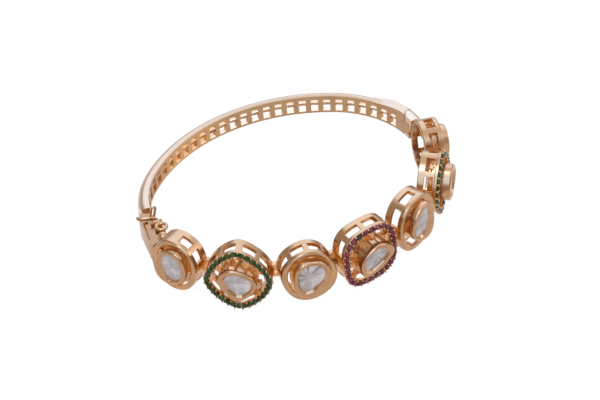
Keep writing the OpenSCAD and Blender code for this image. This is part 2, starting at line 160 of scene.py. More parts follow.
def math_node(nt, op, a, b=None, c=None):
    m = nt.nodes.new("ShaderNodeMath")
    m.operation = op
    for i, v in enumerate((a, b, c)):
        if v is None:
            continue
        if isinstance(v, (int, float)):
            m.inputs[i].default_value = v
        else:
            nt.links.new(v, m.inputs[i])
    return m.outputs[0]


def noise_node(nt, vec, scale, detail=2.0, dims="3D"):
    n = nt.nodes.new("ShaderNodeTexNoise")
    n.noise_dimensions = dims
    n.inputs["Scale"].default_value = scale
    n.inputs["Detail"].default_value = detail
    if vec is not None:
        nt.links.new(vec, n.inputs["W" if dims == "1D" else "Vector"])
    return n.outputs["Fac"]


def ramp_node(nt, fac, stops):
    r = nt.nodes.new("ShaderNodeValToRGB")
    e = r.color_ramp.elements
    e[0].position, e[0].color = stops[0][0], (*stops[0][1], 1)
    e[1].position, e[1].color = stops[-1][0], (*stops[-1][1], 1)
    for pos, col in stops[1:-1]:
        x = e.new(pos)
        x.color = (*col, 1)
    nt.links.new(fac, r.inputs["Fac"])
    return r.outputs["Color"]


def span_node(nt, val, a, b):
    """0 at a, 1 at b, smooth between"""
    n = nt.nodes.new("ShaderNodeMapRange")
    n.interpolation_type = "SMOOTHSTEP"
    n.inputs["From Min"].default_value = a
    n.inputs["From Max"].default_value = b
    nt.links.new(val, n.inputs["Value"])
    return n.outputs["Result"]


def gold(name, base, rough, sill_light=None, top=None, neck_shade=None, dents=0.12):
    """hand-polished gold: cloudy tone, faint buffing marks, slightly hammered surface; painted amber glow and painted
    shade in hollows;
    top is a tone painted on the faces that look up, for how the light falls on them: painted light where it is paler
    than base, painted shade where it is darker"""
    m, nt, b = node_mat(name)
    l = nt.links
    tc = nt.nodes.new("ShaderNodeTexCoord")
    obj = tc.outputs["Object"]
    cloud = noise_node(nt, obj, 260, 3)
    tone = ramp_node(nt, cloud, [(0.30, tuple(c * f for c, f in zip(base, (0.90, 0.87, 0.82)))), (0.55, base),
                                 (0.75, tuple(min(1.0, c * f) for c, f in zip(base, (1.05, 1.07, 1.10))))])
    # buffing marks: noise drawn out in one direction
    mp = nt.nodes.new("ShaderNodeMapping")
    mp.inputs["Scale"].default_value = (260, 1900, 1900)
    mp.inputs["Rotation"].default_value = (0.4, 0.5, 0.6)
    l.new(obj, mp.inputs["Vector"])
    marks = noise_node(nt, mp.outputs["Vector"], 1.0, 2)
    r = math_node(nt, "MULTIPLY_ADD", cloud, rough * 0.7, rough * 0.55)
    r = math_node(nt, "MULTIPLY_ADD", marks, rough * 0.35, r)
    fine = noise_node(nt, obj, 900, 2)
    hgt = math_node(nt, "MULTIPLY_ADD", marks, 0.5, fine)
    bump = nt.nodes.new("ShaderNodeBump")
    bump.inputs["Strength"].default_value = dents
    bump.inputs["Distance"].default_value = 0.00012
    l.new(hgt, bump.inputs["Height"])
    l.new(bump.outputs["Normal"], b.inputs["Normal"])
    # painted light: an emission, strongest where walls face each other, stands in for the amber light that polished
    # walls throw on each other
    ao = nt.nodes.new("ShaderNodeAmbientOcclusion")
    ao.samples = 4
    ao.inputs["Distance"].default_value = 0.0028
    hollow = math_node(nt, "SUBTRACT", 1.0, ao.outputs["AO"])
    # none on open faces, most in the gap round a bezel, dark again in seams
    painted_amber_glow = ramp_node(nt, hollow, [(0.12, (0.0, 0.0, 0.0)), (0.45, (0.13, 0.046, 0.009)), (0.72, (0.43, 0.155, 0.017)),
                                   (0.86, (0.12, 0.030, 0.003)), (0.97, (0.0, 0.0, 0.0))])
    # painted reflections: the painted glow comes in patches, as reflections of one wall in another are
    patch = noise_node(nt, obj, 520, 3)
    painted_reflection_patches = ramp_node(nt, patch, [(0.38, (0.35, 0.30, 0.26)), (0.47, (0.9, 0.9, 0.9)), (0.60, (1.0, 1.0, 1.0)), (0.68, (1.4, 1.6, 1.8))])
    painted_glow = nt.nodes.new("ShaderNodeMix")
    painted_glow.data_type = "RGBA"
    painted_glow.blend_type = "MULTIPLY"
    painted_glow.inputs["Factor"].default_value = 1.0
    l.new(painted_amber_glow, painted_glow.inputs["A"])
    l.new(painted_reflection_patches, painted_glow.inputs["B"])
    l.new(painted_glow.outputs["Result"], b.inputs["Emission Color"])
    b.inputs["Emission Strength"].default_value = 0.85
    # painted shade: in patches the metal's colour is darkened there too
    shade = math_node(nt, "MULTIPLY", math_node(nt, "GREATER_THAN", hollow, 0.35), math_node(nt, "LESS_THAN", patch, 0.44))
    tone = mix_color(nt, math_node(nt, "MULTIPLY", shade, 0.5), tone, tuple(c * 0.35 for c in base))
    b.inputs["Metallic"].default_value = 1.0
    geo = nt.nodes.new("ShaderNodeNewGeometry")
    up = LAY.to_3x3() @ Vector((0, 0, 1))
    up.normalize()
    dn = nt.nodes.new("ShaderNodeVectorMath")
    dn.operation = "DOT_PRODUCT"
    l.new(geo.outputs["True Normal"], dn.inputs[0])
    dn.inputs[1].default_value = up
    # height over the band's mid height
    dp = nt.nodes.new("ShaderNodeVectorMath")
    dp.operation = "DOT_PRODUCT"
    l.new(geo.outputs["Position"], dp.inputs[0])
    dp.inputs[1].default_value = up
    h = math_node(nt, "SUBTRACT", dp.outputs["Value"], up.dot(LAY @ Vector((0, 0, 0))))
    # painted shading: faces that look up take the top tone, which stands in for the light falling on them
    if top is not None:
        painted_top_shading_mask = nt.nodes.new("ShaderNodeMapRange")
        painted_top_shading_mask.interpolation_type = "SMOOTHSTEP"
        painted_top_shading_mask.inputs["From Min"].default_value = 0.0
        painted_top_shading_mask.inputs["From Max"].default_value = 0.5
        l.new(dn.outputs["Value"], painted_top_shading_mask.inputs["Value"])
        tone = mix_color(nt, painted_top_shading_mask.outputs["Result"], tone, top)
    if neck_shade is not None:
        # painted shade: the step between the band's end and the clasp box is painted a darker amber
        place = nt.nodes.new("ShaderNodeSeparateXYZ")
        l.new(obj, place.inputs["Vector"])
        neck_shade_mask = math_node(nt, "MULTIPLY", math_node(nt, "LESS_THAN", place.outputs["X"], -0.020),
                         math_node(nt, "LESS_THAN", place.outputs["Y"], 0.0096))
        neck_shade_mask = math_node(nt, "MULTIPLY", neck_shade_mask, math_node(nt, "LESS_THAN", h, 0.0018))
        tone = mix_color(nt, neck_shade_mask, tone, neck_shade)
    if sill_light is not None:
        # painted light: the sills inside the band's windows are painted pale, made matt and given a glow, for the light
        # that falls in through the windows
        sill_light_mask = math_node(nt, "GREATER_THAN", dn.outputs["Value"], 0.7)
        sill_light_mask = math_node(nt, "MULTIPLY", sill_light_mask, math_node(nt, "LESS_THAN", h, 0.0012))
        if neck_shade is not None:
            sill_light_mask = math_node(nt, "MULTIPLY", sill_light_mask, math_node(nt, "SUBTRACT", 1.0, neck_shade_mask))
        # painted shade: towards the clasp the channel is closed below, so its inside faces and sills are painted from
        # pale to dark amber
        left = math_node(nt, "MULTIPLY", place.outputs["X"], -1.0)
        painted_warm_shade = span_node(nt, left, -0.003, 0.011)
        dark = span_node(nt, left, 0.012, 0.024)
        facing = nt.nodes.new("ShaderNodeVectorMath")
        facing.operation = "DOT_PRODUCT"
        l.new(geo.outputs["True Normal"], facing.inputs[0])
        l.new(geo.outputs["Position"], facing.inputs[1])
        inward = math_node(nt, "LESS_THAN", facing.outputs["Value"], -0.012)
        tone = mix_color(nt, math_node(nt, "MULTIPLY", math_node(nt, "MULTIPLY", inward, painted_warm_shade), 0.7), tone, (0.62, 0.345, 0.155))
        tone = mix_color(nt, math_node(nt, "MULTIPLY", math_node(nt, "MULTIPLY", inward, dark), 0.65), tone, (0.33, 0.145, 0.05))
        # painted light: faces that point away from the middle are painted paler, except at the neck
        painted_outward_light = math_node(nt, "MULTIPLY", span_node(nt, facing.outputs["Value"], 0.008, 0.026), math_node(nt, "SUBTRACT", 1.0, neck_shade_mask))
        tone = mix_color(nt, math_node(nt, "MULTIPLY", painted_outward_light, 0.75), tone, (0.55, 0.375, 0.25))
        inside = mix_color(nt, dark, mix_color(nt, painted_warm_shade, sill_light, (0.82, 0.53, 0.28)), (0.25, 0.085, 0.02))
        tone = mix_color(nt, sill_light_mask, tone, inside)
        l.new(math_node(nt, "MULTIPLY_ADD", sill_light_mask, -0.75, 1.0), b.inputs["Metallic"])
        r = math_node(nt, "MULTIPLY_ADD", sill_light_mask, 0.3, r)
        # painted light: the sills glow, pale in the open windows and dark amber towards the clasp
        painted_glow = b.inputs["Emission Color"].links[0].from_socket
        painted_sill_glow = mix_color(nt, dark, mix_color(nt, painted_warm_shade, tuple(c * 0.75 for c in sill_light), (0.60, 0.33, 0.14)), (0.12, 0.037, 0.007))
        l.new(mix_color(nt, sill_light_mask, painted_glow, painted_sill_glow), b.inputs["Emission Color"])
    l.new(tone, b.inputs["Base Color"])
    l.new(r, b.inputs["Roughness"])
    return m


def gem(name, dark, light, rough, scale):
    m, nt, b = node_mat(name)
    tc = nt.nodes.new("ShaderNodeTexCoord")
    noise = noise_node(nt, tc.outputs["Object"], scale, 2)
    # the stones' colour goes in patches from dark to light: partly their own uneven colour, partly painted highlights
    # of the facets
    nt.links.new(ramp_node(nt, noise, [(0.35, dark), (0.68, light)]), b.inputs["Base Color"])
    nt.links.new(math_node(nt, "MULTIPLY_ADD", noise, rough, rough * 0.5), b.inputs["Roughness"])
    b.inputs["IOR"].default_value = 1.55
    b.inputs["Specular IOR Level"].default_value = 0.35
    # painted reflection: the stones' reflections are tinted gold, for the gold round them
    b.inputs["Specular Tint"].default_value = (1.0, 0.82, 0.58, 1)
    return m


def polki_mat(name):
    """uncut stone over foil: streaks run out from a point of the stone, with cloudy lilac-grey patches.
    The mesh carries each stone's own flat coordinates, in millimetres, in the attribute "stone"."""
    m, nt, b = node_mat(name)
    l = nt.links
    at = nt.nodes.new("ShaderNodeAttribute")
    at.attribute_name = "stone"
    sep = nt.nodes.new("ShaderNodeSeparateXYZ")
    l.new(at.outputs["Vector"], sep.inputs["Vector"])
    ang = math_node(nt, "ARCTAN2", sep.outputs["Y"], sep.outputs["X"])
    rad_ = math_node(nt, "SQRT", math_node(nt, "ADD", math_node(nt, "MULTIPLY", sep.outputs["X"], sep.outputs["X"]),
                                           math_node(nt, "MULTIPLY", sep.outputs["Y"], sep.outputs["Y"])))
    w = math_node(nt, "MULTIPLY_ADD", sep.outputs["Z"], 7.3, ang)
    w = math_node(nt, "MULTIPLY_ADD", rad_, 0.10, w)
    streak = noise_node(nt, w, 2.0, 2.5, "1D")
    cloud = noise_node(nt, at.outputs["Vector"], 0.55, 2)
    tone = ramp_node(nt, cloud, [(0.30, (0.31, 0.25, 0.225)), (0.50, (0.39, 0.32, 0.29)), (0.70, (0.58, 0.49, 0.46))])
    lines = ramp_node(nt, streak, [(0.33, (0.36, 0.32, 0.31)), (0.38, (0.86, 0.84, 0.84)), (0.55, (1.0, 1.0, 1.0)), (0.68, (0.88, 0.86, 0.86))])
    mul = nt.nodes.new("ShaderNodeMix")
    mul.data_type = "RGBA"
    mul.blend_type = "MULTIPLY"
    # the streaks fade out towards the point that they start from, and each stone has its own share of them
    veins = nt.nodes.new("ShaderNodeAttribute")
    veins.attribute_name = "veins"
    l.new(math_node(nt, "MULTIPLY", math_node(nt, "MINIMUM", rad_, 1.0), veins.outputs["Fac"]), mul.inputs["Factor"])
    l.new(tone, mul.inputs["A"])
    l.new(lines, mul.inputs["B"])
    l.new(mul.outputs["Result"], b.inputs["Base Color"])
    l.new(math_node(nt, "MULTIPLY_ADD", cloud, 0.16, 0.10), b.inputs["Roughness"])
    bump = nt.nodes.new("ShaderNodeBump")
    bump.inputs["Strength"].default_value = 0.25
    bump.inputs["Distance"].default_value = 0.0001
    l.new(streak, bump.inputs["Height"])
    l.new(bump.outputs["Normal"], b.inputs["Normal"])
    b.inputs["Metallic"].default_value = 0.45
    b.inputs["IOR"].default_value = 2.0
    return m


MAT_GOLD = gold("rose_gold_polished", (0.46, 0.258, 0.137), 0.18)
# painted shade: the clasp's faces that look up are painted darker
MAT_CLASP = gold("rose_gold_clasp", (0.44, 0.25, 0.14), 0.2, top=(0.30, 0.155, 0.077), dents=0.75)
# painted light and shade on the band: paler faces that look up, pale glowing window sills, a darker neck by the clasp
MAT_BAND = gold("rose_gold_band", (0.43, 0.255, 0.134), 0.22, sill_light=(0.98, 0.84, 0.70), top=(0.51, 0.335, 0.215), neck_shade=(0.33, 0.165, 0.07))
MAT_HINGE = gold("rose_gold_hinge", (0.56, 0.40, 0.29), 0.22)
MAT_GREEN = gem("green_stones", (0.004, 0.010, 0.002), (0.016, 0.075, 0.012), 0.10, 1100)
MAT_RUBY = gem("ruby_stones", (0.040, 0.002, 0.006), (0.21, 0.014, 0.045), 0.10, 1100)
MAT_BLACK = gem("dark_stone", (0.006, 0.006, 0.008), (0.02, 0.02, 0.024), 0.15, 900)
MAT_POLKI = polki_mat("polki_foil")


# ------------------------------------------------------------------ mesh helpers
def make(name, verts, faces, body, nodes, mat, M=None, smooth=True, bevel=None, segs=2, angle=32):
    T = LAY if M is None else LAY @ M
    me = bpy.data.meshes.new(name)
    me.from_pydata([tuple(T @ Vector(v)) for v in verts], [], faces)
    bm = bmesh.new()
    bm.from_mesh(me)
    bmesh.ops.remove_doubles(bm, verts=bm.verts, dist=1e-7)
    bmesh.ops.recalc_face_normals(bm, faces=bm.faces)
    bm.to_mesh(me)
    bm.free()
    for p in me.polygons:
        p.use_smooth = smooth
    ob = bpy.data.objects.new(name, me)
    bpy.context.scene.collection.objects.link(ob)
    me.materials.append(mat)
    if bevel:
        b = ob.modifiers.new("edges", "BEVEL")
        b.width = bevel * MM
        b.segments = segs
        b.limit_method = "ANGLE"
        b.angle_limit = rad(angle)
        b.use_clamp_overlap = True
        b.harden_normals = True
    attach(ob, body)
    if nodes:
        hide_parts(*nodes)
    return ob


class Soup:
    """verts and faces of one piece, put together from several closed shapes"""

    def __init__(self):
        self.v, self.f = [], []

    def add(self, verts, faces, M=None):
        o = len(self.v)
        for p in verts:
            p = Vector(p)
            self.v.append(tuple(M @ p) if M is not None else tuple(p))
        self.f += [tuple(o + i for i in f) for f in faces]

    def grid(self, rows, closed_profile=True, closed_path=True, holes=None, M=None, caps=False):
        """rows[i][j]; i runs round the profile and j along the path.
        holes: (outer row, inner row, [(first column, last column), ...])"""
        R, C = len(rows), len(rows[0])
        verts = [p for r in rows for p in r]
        idx = lambda i, j: (i % R) * C + (j % C)
        spans = holes[2] if holes else []
        hole_cols = set(j for a, b in spans for j in range(a, b))
        faces = []
        for i in range(R if closed_profile else R - 1):
            for j in range(C if closed_path else C - 1):
                if holes and i in (holes[0], holes[1]) and j in hole_cols:
                    continue
                faces.append((idx(i, j), idx(i, j + 1), idx(i + 1, j + 1), idx(i + 1, j)))
        if holes:
            o, n = holes[0], holes[1]
            for j in hole_cols:
                faces.append((idx(o, j), idx(o, j + 1), idx(n + 1, j + 1), idx(n + 1, j)))
                faces.append((idx(o + 1, j), idx(o + 1, j + 1), idx(n, j + 1), idx(n, j)))
            for a, b in spans:
                faces.append((idx(o, a), idx(o + 1, a), idx(n, a), idx(n + 1, a)))
                faces.append((idx(o, b), idx(o + 1, b), idx(n, b), idx(n + 1, b)))
        if caps:
            faces.append(tuple(idx(i, 0) for i in range(R)))
            faces.append(tuple(idx(i, C - 1) for i in range(R)))
        self.add(verts, faces, M)

    def box(self, x0, x1, y0, y1, z0, z1, M=None):
        v = [(x, y, z) for z in (z0, z1) for y in (y0, y1) for x in (x0, x1)]
        f = [(0, 1, 3, 2), (4, 5, 7, 6), (0, 1, 5, 4), (2, 3, 7, 6), (0, 2, 6, 4), (1, 3, 7, 5)]
        self.add(v, f, M)

    def prism(self, pts, z0, z1, M=None):
        k = len(pts)
        v = [(x, y, z0) for x, y in pts] + [(x, y, z1) for x, y in pts]
        f = [tuple(range(k)), tuple(range(k, 2 * k))]
        f += [(i, (i + 1) % k, k + (i + 1) % k, k + i) for i in range(k)]
        self.add(v, f, M)

    def ball(self, r, M, nu=16, nv=10, flat=1.0):
        v, f = [(0, 0, r * flat)], []
        for i in range(1, nv):
            a = math.pi * i / nv
            for j in range(nu):
                b = 2 * math.pi * j / nu
                v.append((r * math.sin(a) * math.cos(b), r * math.sin(a) * math.sin(b), r * flat * math.cos(a)))
        v.append((0, 0, -r * flat))
        for j in range(nu):
            f.append((0, 1 + j, 1 + (j + 1) % nu))
            f.append((len(v) - 1, 1 + (nv - 2) * nu + j, 1 + (nv - 2) * nu + (j + 1) % nu))
            for i in range(nv - 2):
                a, b = 1 + i * nu, 1 + (i + 1) * nu
                f.append((a + j, a + (j + 1) % nu, b + (j + 1) % nu, b + j))
        self.add(v, f, M)

    def tube(self, path, r, M=None, n=14, closed=False):
        """round wire along a list of points"""
        P = [Vector(p) for p in path]
        k = len(P)
        rows = [[] for _ in range(n)]
        up = None
        for i in range(k):
            a = P[(i - 1) % k] if (closed or i > 0) else P[i]
            b = P[(i + 1) % k] if (closed or i < k - 1) else P[i]
            t = (b - a).normalized()
            if up is None:
                up = t.orthogonal().normalized()
            up = (up - t * up.dot(t)).normalized()
            side = t.cross(up)
            for j in range(n):
                c = 2 * math.pi * j / n
                rows[j].append(tuple(P[i] + (up * math.cos(c) + side * math.sin(c)) * r))
        self.grid(rows, True, closed, None, M, caps=not closed)


def columns(s, step=0.33):
    """parameters round a setting's outline, with the window spans as column numbers"""
    K = 1440
    dense = [outline_point(s, 2 * math.pi * i / K, 0.0) for i in range(K)]
    cum = [0.0]
    for i in range(K):
        a, b = dense[i], dense[(i + 1) % K]
        cum.append(cum[-1] + math.hypot(b[0] - a[0], b[1] - a[1]))
    total = cum[-1]
    hw = s[12] / 2
    pitch = 360 / s[10]
    edges = []
    for i in range(s[10]):
        a = s[9] + i * pitch
        b = (a % 360 + 540) % 360 - 180
        if not (14 < abs(b) < 166) or (s[0] < -70 and 90 < b < 150):
            continue
        ca, sa = math.cos(rad(a)), math.sin(rad(a))
        inside = []
        for j, p in enumerate(dense):
            x, y = p[0] - s[2], p[1] - s[3]
            if x * ca + y * sa > 0 and abs(-x * sa + y * ca) < hw:
                inside.append(cum[j])
        lo, hi = min(inside), max(inside)
        if hi - lo > total / 2:
            lo = min(v for v in inside if v > total / 2) - total
            hi = max(v for v in inside if v < total / 2)
        edges.append((lo, hi))
    edges.sort()
    stops, spans = [], []
    # start in the middle of a post
    start = (edges[-1][1] - total + edges[0][0]) / 2 if edges[-1][1] > edges[0][0] else 0.0
    pos = start
    for lo, hi in edges:
        k = max(1, round((lo - pos) / step))
        stops += [pos + (lo - pos) * i / k for i in range(k)]
        first = len(stops)
        k = max(2, round((hi - lo) / step))
        stops += [lo + (hi - lo) * i / k for i in range(k)]
        spans.append((first, len(stops)))
        pos = hi
    end = start + total
    k = max(1, round((end - pos) / step))
    stops += [pos + (end - pos) * i / k for i in range(k)]
    out = []
    j = 0
    for v in stops:
        v %= total
        lo, hi = 0, K
        while hi - lo > 1:
            mid = (lo + hi) // 2
            if cum[mid] <= v:
                lo = mid
            else:
                hi = mid
        f = (v - cum[lo]) / max(1e-9, cum[lo + 1] - cum[lo])
        out.append(2 * math.pi * (lo + f) / K)
    return out, spans


def polar(poly, c, angles):
    """radius of a closed outline about c at each angle"""
    k = len(poly)
    res = []
    for a in angles:
        dx, dy = math.cos(a), math.sin(a)
        best = None
        for i in range(k):
            x0, y0 = poly[i][0] - c[0], poly[i][1] - c[1]
            x1, y1 = poly[(i + 1) % k][0] - c[0], poly[(i + 1) % k][1] - c[1]
            den = dx * (y1 - y0) - dy * (x1 - x0)
            if abs(den) < 1e-12:
                continue
            t = (x0 * (y1 - y0) - y0 * (x1 - x0)) / den
            u = (x0 * dy - y0 * dx) / den
            if t > 0 and -1e-9 <= u <= 1 + 1e-9 and (best is None or t > best):
                best = t
        res.append(best if best is not None else 1.0)
    return res


# ------------------------------------------------------------------ settings
def setting_piece(k):
    s = SETTINGS[k]
    M = setting_frame(s)
    S = Soup()
    cols, spans = columns(s)
    halo = s[8] > 0
    if not halo:
        prof = [(0.10, 0.04), (0.0, 0.18), (0.0, WIN0), (0.0, WIN1), (0.0, SET_D - 0.42), (0.05, SET_D - 0.22),
                (0.18, SET_D - 0.06), (0.38, SET_D), (0.98, SET_D), (1.14, SET_D - 0.08), (1.22, SET_D - 0.28),
                (1.0, SET_D - 0.75), (WALL, WIN1), (WALL, WIN0), (WALL, 0.14), (WALL - 0.10, 0.0), (0.24, 0.0)]
        ho, hi = 2, 12
    else:
        prof = [(0.33, 0.04), (0.25, 0.15), (0.25, WIN0), (0.25, WIN1), (0.25, 3.36), (0.14, 3.5), (0.14, 3.92),
                (0.22, 4.0), (1.30, 4.0), (1.38, 3.92), (1.38, 3.5), (1.2, 3.34), (0.25 + WALL, WIN1),
                (0.25 + WALL, WIN0), (0.25 + WALL, 0.14), (0.15 + WALL, 0.0), (0.45, 0.0)]
        ho, hi = 2, 12
    rows = []
    for off, z in prof:
        rows.append([(*outline_point(s, a, off), z) for a in cols])
    S.grid(rows, True, True, (ho, hi, spans), M)

    # bezel
    top = s[11]
    base = BEZ_Z if not halo else 2.35
    stone = blob(STONES[k], -0.02, STONES[k][8])
    c = (STONES[k][0], STONES[k][1])
    angs = [2 * math.pi * i / 96 for i in range(96)]
    for x, y in stone:
        angs.append(math.atan2(y - c[1], x - c[0]) % (2 * math.pi))
    angs = sorted(angs)
    keep = [angs[0]]
    for a in angs[1:]:
        if a - keep[-1] > 0.012:
            keep.append(a)
    angs = keep
    rb = polar(blob(BEZELS[k], 0, 180), c, angs)
    rs = polar(stone, c, angs)

    def ring(fr, z):
        out = []
        for a, b, q in zip(angs, rb, rs):
            r = fr(b, q)
            out.append((c[0] + r * math.cos(a), c[1] + r * math.sin(a), z))
        return out

    prof = [
        ring(lambda b, q: b, base),
        ring(lambda b, q: b, top - 0.62),
        ring(lambda b, q: b - 0.02, top - 0.38),
        ring(lambda b, q: b - 0.09, top - 0.18),
        ring(lambda b, q: b - 0.2, top - 0.05),
        ring(lambda b, q: b - 0.34, top),
        ring(lambda b, q: max(q + 0.2, q + 0.45 * (b - 0.34 - q)), top - 0.04),
        ring(lambda b, q: q + 0.04, top - 0.42),
        ring(lambda b, q: q - 0.10, top - 0.50),
        ring(lambda b, q: min(b - 0.65, q - 0.05), top - 0.95),
        ring(lambda b, q: b - 0.65, base + 0.4),
        ring(lambda b, q: b - 0.65, base),
    ]
    S.grid(prof, True, True, None, M)
    # floor of the bezel, under the stone
    S.prism(blob(BEZELS[k], 0.5, 96), top - 1.25, top - 0.77, M)

    start = s[9] + 180 / s[10]
    bars = 5 if halo else 4
    # bars from the posts between the windows hold the bezel in the open frame
    for i in range(bars):
        a = rad(start + math.floor(i * s[10] / bars) * 360 / s[10])
        r0 = polar(blob(BEZELS[k], 0, 180), (0, 0), [a])[0] - 0.35
        r1 = polar([outline_point(s, 2 * math.pi * j / 240, 0.6) for j in range(240)], (0, 0), [a])[0]
        S.box(r0, r1, -0.4, 0.4, BEZ_Z - 0.35, BEZ_Z + 0.4, M @ Matrix.Rotation(a, 4, "Z"))
    if halo:
        # crown of small plates below the bezel
        for i in range(10):
            a = rad(start + 36 * i)
            r = polar(blob(BEZELS[k], 0, 180), (0, 0), [a])[0]
            B = Matrix.Rotation(a, 4, "Z") @ Matrix.Translation((r - 0.32, 0, 2.7)) @ Matrix.Rotation(rad(-14), 4, "Y")
            S.box(-0.22, 0.22, -0.62, 0.62, -1.05, 0.2, M @ B)
        # crown of small bent plates around the foot of the bezel
        rng = random.Random(11 + k)
        for i in range(9):
            a = rad(s[9] + 40 * i)
            r = polar(blob(BEZELS[k], 0, 180), (0, 0), [a])[0]
            B = Matrix.Rotation(a, 4, "Z") @ Matrix.Translation((r, 0, 3.28 + rng.uniform(-0.15, 0.2))) \
                @ Matrix.Rotation(rad(rng.uniform(4, 22)), 4, "Y") @ Matrix.Rotation(rad(rng.uniform(-9, 9)), 4, "X")
            S.box(-0.35, rng.uniform(0.7, 0.95), -0.66, 0.66, -0.22, 0.22, M @ B)
            S.box(-0.2, 0.36, -0.4, 0.4, -0.3, 0.62, M @ B)
        # back ring that carries the plates
        rr = [ring(lambda b, q: b - 0.05, 1.65), ring(lambda b, q: b - 0.05, 2.0),
              ring(lambda b, q: b - 0.7, 2.0), ring(lambda b, q: b - 0.7, 1.65)]
        S.grid(rr, True, True, None, M)
    make(f"setting_{k + 1}", S.v, S.f, "front", ["front_frame"], MAT_GOLD, bevel=0.09)


for k in range(7):
    setting_piece(k)


# ------------------------------------------------------------------ rows of small stones
def halo_piece(k, name, count, mat, dark=None):
    s = SETTINGS[k]
    M = setting_frame(s)
    K = 1440
    dense = [outline_point(s, 2 * math.pi * i / K, 0.70) for i in range(K)]
    cum = [0.0]
    for i in range(K):
        a, b = dense[i], dense[(i + 1) % K]
        cum.append(cum[-1] + math.hypot(b[0] - a[0], b[1] - a[1]))
    total = cum[-1]

    def at(v):
        v %= total
        lo, hi = 0, K
        while hi - lo > 1:
            mid = (lo + hi) // 2
            if cum[mid] <= v:
                lo = mid
            else:
                hi = mid
        a, b = dense[lo % K], dense[(lo + 1) % K]
        f = (v - cum[lo]) / max(1e-9, cum[lo + 1] - cum[lo])
        p0, p1 = dense[(lo - 12) % K], dense[(lo + 13) % K]
        t = math.atan2(p1[1] - p0[1], p1[0] - p0[0])
        return (a[0] + (b[0] - a[0]) * f, a[1] + (b[1] - a[1]) * f), t

    stones, beads, darks = Soup(), Soup(), Soup()
    pitch = total / count
    for i in range(count):
        (x, y), t = at((i + 0.5) * pitch)
        r = min(0.435 * pitch, 0.6)
        B = M @ Matrix.Translation((x, y, 4.12 + random.uniform(-0.04, 0.04))) @ Matrix.Rotation(t + random.uniform(-0.28, 0.28), 4, "Z") \
            @ Matrix.Rotation(random.uniform(-0.09, 0.09), 4, "X") @ Matrix.Rotation(random.uniform(-0.09, 0.09), 4, "Y")
        n = 8
        # square with cut corners
        ringp = lambda rr, z, ph=0.0: [(rr * 1.04 * spow(math.cos(2 * math.pi * (j + 0.5) / n), 0.55), rr * 1.04 * spow(math.sin(2 * math.pi * (j + 0.5) / n), 0.55), z)
                                       for j in range(n)]
        v = ringp(r * 0.8, -0.15) + ringp(r, 0.08) + ringp(r * 0.98, 0.16) + ringp(r * 0.52, 0.46)
        f = [tuple(range(n))]
        for a in range(2):
            f += [(a * n + j, a * n + (j + 1) % n, (a + 1) * n + (j + 1) % n, (a + 1) * n + j) for j in range(n)]
        f += [(2 * n + j, 2 * n + (j + 1) % n, 3 * n + (j + 1) % n, 3 * n + j) for j in range(n)]
        f.append(tuple(3 * n + j for j in range(n)))
        (darks if dark is not None and i == dark else stones).add(v, f, B)
        (x, y), t = at(i * pitch)
        for side in (-1, 1):
            B = M @ Matrix.Translation((x, y, 4.12)) @ Matrix.Rotation(t, 4, "Z") @ Matrix.Translation((0, side * 0.52, 0.12))
            beads.ball(0.23, B, 10, 6, 1.5)
    make(name + "_stones", stones.v, stones.f, "front", [name], mat, smooth=False)
    if darks.v:
        make(name + "_dark_stone", darks.v, darks.f, "front", [name], MAT_BLACK, smooth=False)
    make(name + "_beads", beads.v, beads.f, "front", [name], MAT_GOLD)


halo_piece(1, "green_halo_left", 29, MAT_GREEN)
halo_piece(3, "ruby_halo_centre", 28, MAT_RUBY, dark=8)
halo_piece(5, "green_halo_right", 29, MAT_GREEN)


# ------------------------------------------------------------------ flat uncut stones
VEINS = (0.42, 0.30, 0.85, 0.60, 0.50, 0.40, 0.45)


